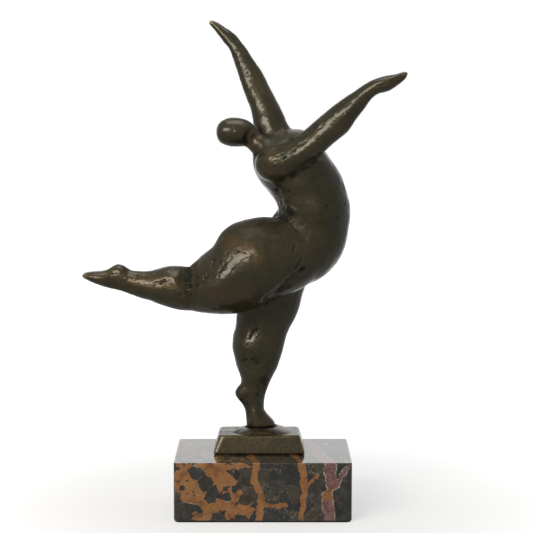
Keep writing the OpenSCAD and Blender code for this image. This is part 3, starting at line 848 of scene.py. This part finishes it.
def marble():
    """Polished breccia: dark stones in ochre, with a purple band and pale veinlets."""
    mat, add = material("polished_breccia")
    (_, y0, z0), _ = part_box("marble_block")
    where = in_millimetres(add)
    # the bands run back through the block at a slant
    split = add("SeparateXYZ", {0: where})
    depth = maths(add, "SUBTRACT", split.outputs["Y"], y0 / MM)
    across = maths(add, "MULTIPLY_ADD", depth, SLANT, split.outputs["X"])
    height = maths(add, "SUBTRACT", split.outputs["Z"], z0 / MM)
    sheet = add("CombineXYZ", {"X": across, "Y": depth, "Z": height}).outputs[0]
    rough_sheet = warped(add, warped(add, sheet, 9, 7), 2.2, 1.7)
    front = vector_maths(add, "MULTIPLY", rough_sheet, (1, 0, 1))
    band = bands(add, front, BANDS)
    ground = bands(add, front, GROUND)
    purple = bands(add, front, PURPLE)
    stones = warped(add, warped(add, where, 10, 6), 2.5, 1.4)
    edge = cells(add, stones, STONE, "DISTANCE_TO_EDGE", "Distance")
    kind = cells(add, stones, STONE, "F1", "Color")
    small = cells(add, stones, SMALL_STONE, "DISTANCE_TO_EDGE", "Distance")
    fine = cloud(add, where, 1.6, 8, 0.7)
    mottle = cloud(add, where, 6, 6, 0.65)
    # stones: charcoal, green grey or brown, each its own, with a mottled inside
    split = add("SeparateColor", {0: kind})
    stone = ramp(add, split.outputs[0],
                 [(0.0, CHARCOAL), (0.45, GREEN_GREY), (0.8, UMBER), (1.0, WARM_GREY)])
    shade = level(add, mottle, 0.32, 0.68, 0.62, 1.5)
    shade = add("CombineColor", {0: shade, 1: shade, 2: shade}).outputs[0]
    stone = mixed(add, 1.0, stone, shade, "MULTIPLY")
    stone = mixed(add, level(add, fine, 0.62, 0.78, 0.0, 0.35), stone, (0.12, 0.11, 0.09))
    # matrix: ochre with browner clouds and black specks
    ochre = ramp(add, mottle, [(0.34, (0.24, 0.092, 0.027)), (0.52, (0.42, 0.180, 0.053)),
                               (0.70, (0.50, 0.235, 0.073))])
    ochre = mixed(add, level(add, fine, 0.28, 0.36, 1.0, 0.0), ochre, (0.03, 0.02, 0.012))
    plum = ramp(add, mottle, [(0.35, (0.18, 0.080, 0.072)), (0.65, (0.32, 0.155, 0.135))])
    # how much matrix there is between the stones
    share = maths(add, "MAXIMUM", level(add, band, -1.6, 0.2, 0.9, 0.0),
                  level(add, ground, -3.5, 0.8, 0.20, 0.0))
    inside = maths(add, "SUBTRACT", edge, share)
    small_inside = maths(add, "SUBTRACT", small, maths(add, "MULTIPLY", share, 1.25))
    pick = level(add, cloud(add, where, 16, 2), 0.50, 0.54)
    inside = add("Mix", {0: pick, 2: inside, 3: small_inside}, data_type="FLOAT").outputs[0]
    is_stone = level(add, inside, -0.006, 0.010)
    thin = maths(add, "MULTIPLY", level(add, edge, 0.0, 0.020, 1.0, 0.0),
                 level(add, mottle, 0.46, 0.58))
    colour = mixed(add, is_stone, ochre, stone)
    colour = mixed(add, maths(add, "MULTIPLY", thin, 0.8), colour, (0.26, 0.16, 0.08))
    # pale veinlets along some of the stones' edges and both sides of the purple band
    rim = maths(add, "MULTIPLY", level(add, maths(add, "ABSOLUTE", inside), 0.0, 0.022, 1.0, 0.0),
                level(add, cloud(add, where, 7, 3), 0.53, 0.60))
    rim = maths(add, "MULTIPLY", rim, level(add, share, 0.02, 0.1))
    colour = mixed(add, rim, colour, PALE)
    in_purple = level(add, purple, -0.2, 0.15, 1.0, 0.0)
    # the purple band turns to ochre where it is narrowest
    narrow = maths(add, "MULTIPLY", level(add, height, 13.0, 16.5),
                   level(add, height, 21, 25, 1.0, 0.0))
    plum = mixed(add, maths(add, "MULTIPLY", narrow, 0.85), plum, ochre)
    colour = mixed(add, in_purple, colour, plum)
    white = maths(add, "ABSOLUTE", maths(add, "ADD", purple, 0.15))
    white = level(add, white, 0.12, 0.42, 1.0, 0.0)
    white = maths(add, "MULTIPLY", white, level(add, cloud(add, where, 4, 3), 0.42, 0.52))
    colour = mixed(add, white, colour, (0.60, 0.54, 0.46))
    # black specks, and fine pale veinlets that wander through some parts
    dots = cells(add, warped(add, where, 3, 1.2), 3.6, "F1", "Distance")
    dots = maths(add, "MULTIPLY", level(add, dots, 0.09, 0.15, 1.0, 0.0),
                 level(add, cloud(add, where, 9, 2), 0.46, 0.56))
    colour = mixed(add, dots, colour, BLACK)
    hair = maths(add, "ABSOLUTE", maths(add, "SUBTRACT", cloud(add, where, 7, 6, 0.6), 0.5))
    hair = maths(add, "MULTIPLY", level(add, hair, 0.0, 0.010, 0.8, 0.0),
                 level(add, cloud(add, where, 15, 1), 0.53, 0.60))
    colour = mixed(add, hair, colour, (0.46, 0.42, 0.35))
    shader = add("BsdfPrincipled", {
        "Base Color": colour, "Roughness": 0.16, "Specular IOR Level": 0.5, "Coat Weight": 0.8,
        "Coat Roughness": 0.03})
    add("OutputMaterial", {"Surface": shader.outputs[0]})
    return mat


# ---------------------------------------------------------------- felt and fasteners

def felt():
    """Black felt with a soft nap."""
    mat, add = material("black_felt")
    where = in_millimetres(add)
    fuzz = cloud(add, where, 0.4, 6, 0.8)
    colour = ramp(add, fuzz, [(0.3, (0.006, 0.006, 0.007)), (0.7, (0.03, 0.03, 0.032))])
    bump = add("Bump", {"Height": fuzz, "Strength": 0.8, "Distance": 0.3 * MM})
    shader = add("BsdfPrincipled", {
        "Base Color": colour, "Roughness": 0.95, "Sheen Weight": 0.3, "Normal": bump.outputs[0]})
    add("OutputMaterial", {"Surface": shader.outputs[0]})
    return mat


def bare_metal(name, dark, light, size):
    """Unfinished metal, its colour and gloss clouded."""
    mat, add = material(name)
    where = in_millimetres(add)
    clouds = cloud(add, where, size, 6)
    lines = cloud(add, vector_maths(add, "MULTIPLY", where, (1, 1, 9)), 1.4, 4)
    colour = ramp(add, clouds, [(0.3, dark), (0.7, light)])
    rough = level(add, lines, 0.3, 0.7, 0.28, 0.48)
    bump = add("Bump", {"Height": lines, "Strength": 0.25, "Distance": 0.1 * MM})
    shader = add("BsdfPrincipled", {
        "Base Color": colour, "Metallic": 1.0, "Roughness": rough, "Normal": bump.outputs[0]})
    add("OutputMaterial", {"Surface": shader.outputs[0]})
    return mat


FINISH = {
    "bronze": bronze(), "marble": marble(), "felt": felt(),
    "steel": bare_metal("zinc_plated_steel", (0.42, 0.43, 0.45), (0.62, 0.62, 0.60), 2.0),
    "pin_bronze": bare_metal("filed_bronze", (0.30, 0.17, 0.06), (0.55, 0.36, 0.15), 1.4)}
slot_of = {part["node"]: part["material_slot"] for part in frame["record"]["subparts"]}


def finish_with(obj, mat):
    obj.data.materials.clear()
    obj.data.materials.append(mat)


for name, obj in nodes.items():
    finish_with(obj, FINISH[slot_of[name]])
for name, obj in skins.items():
    finish_with(obj, FINISH["bronze"])
    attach(obj, "root")
    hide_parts(name)


# ---------------------------------------------------------------- studio

CHEST = Vector((0.01, 0.0, 0.20))       # what the lights are turned to
FLOOR_HALF = 3.0
BACKDROP, FILL, CEILING = 0.78, 0.33, 0.34     # the world's strength behind, all round and above
CAMERA_AT = (0.0025, -1.1562, 0.2937)
CAMERA_DOWN = 6.09                      # degrees that the camera looks down
LENS, SENSOR = 113.7, 36                # millimetres


def softbox(name, place, width, height, power, colour=(1, 1, 1)):
    """A rectangular light turned to the figure's chest."""
    light = bpy.data.lights.new(name, "AREA")
    light.color = colour
    light.shape = "RECTANGLE"
    light.size, light.size_y = width, height
    light.energy = power
    obj = bpy.data.objects.new(name, light)
    scene.collection.objects.link(obj)
    obj.location = place
    obj.rotation_euler = (CHEST - Vector(place)).to_track_quat("-Z", "Y").to_euler()


def studio_floor():
    """White paper that glows, which is painted light; it glows less near the block, a painted shade
    round it, and still takes a soft shadow from the lamps.
    """
    corners = np.array([(-1, -1, 0), (1, -1, 0), (1, 1, 0), (-1, 1, 0)]) * FLOOR_HALF
    floor = new_mesh("studio_floor", corners, np.array([[0, 1, 2, 3]]))
    floor.visible_diffuse = floor.visible_glossy = False
    mat, add = material("white_paper")
    away = length(add, add("TexCoord").outputs["Object"])
    # painted light: the floor glows, less near the block, so it is painted darker round the block
    painted_floor_glow = level(add, away, 0.08, 0.40, 0.52, 0.95)
    shader = add("BsdfPrincipled", {
        "Base Color": (0.6, 0.6, 0.6, 1), "Roughness": 1.0, "Specular IOR Level": 0.0,
        "Emission Color": (1, 1, 1, 1), "Emission Strength": painted_floor_glow})
    add("OutputMaterial", {"Surface": shader.outputs[0]})
    finish_with(floor, mat)


def studio_world():
    """White to the camera. To the object, a white backdrop straight behind and grey elsewhere."""
    world = bpy.data.worlds.new("studio")
    scene.world = world
    add = node_adder(world)
    way = add("SeparateXYZ", {0: add("TexCoord").outputs["Generated"]}).outputs
    backdrop = level(add, way["Y"], 0.78, 0.96, 0.0, BACKDROP)
    above = level(add, way["Z"], -0.2, 0.9, FILL, CEILING)
    lit = add("Background", {"Strength": maths(add, "ADD", backdrop, above)})
    seen = add("Background", {"Color": (1, 1, 1, 1)})
    to_camera = add("LightPath").outputs["Is Camera Ray"]
    mix = add("MixShader", {0: to_camera, 1: lit.outputs[0], 2: seen.outputs[0]})
    add("OutputWorld", {"Surface": mix.outputs[0]})


studio_floor()
studio_world()
softbox("key", (-0.62, -0.95, 0.78), 0.95, 0.42, 8, (1.0, 0.94, 0.86))
softbox("top", (0.0, 0.1, 1.3), 0.8, 0.8, 3)
scene.view_settings.view_transform = "Standard"

camera = bpy.data.cameras.new("camera")
camera.lens, camera.sensor_width = LENS, SENSOR
eye = bpy.data.objects.new("camera", camera)
scene.collection.objects.link(eye)
eye.location = CAMERA_AT
eye.rotation_euler = (math.radians(90 - CAMERA_DOWN), 0, 0)
scene.camera = eye
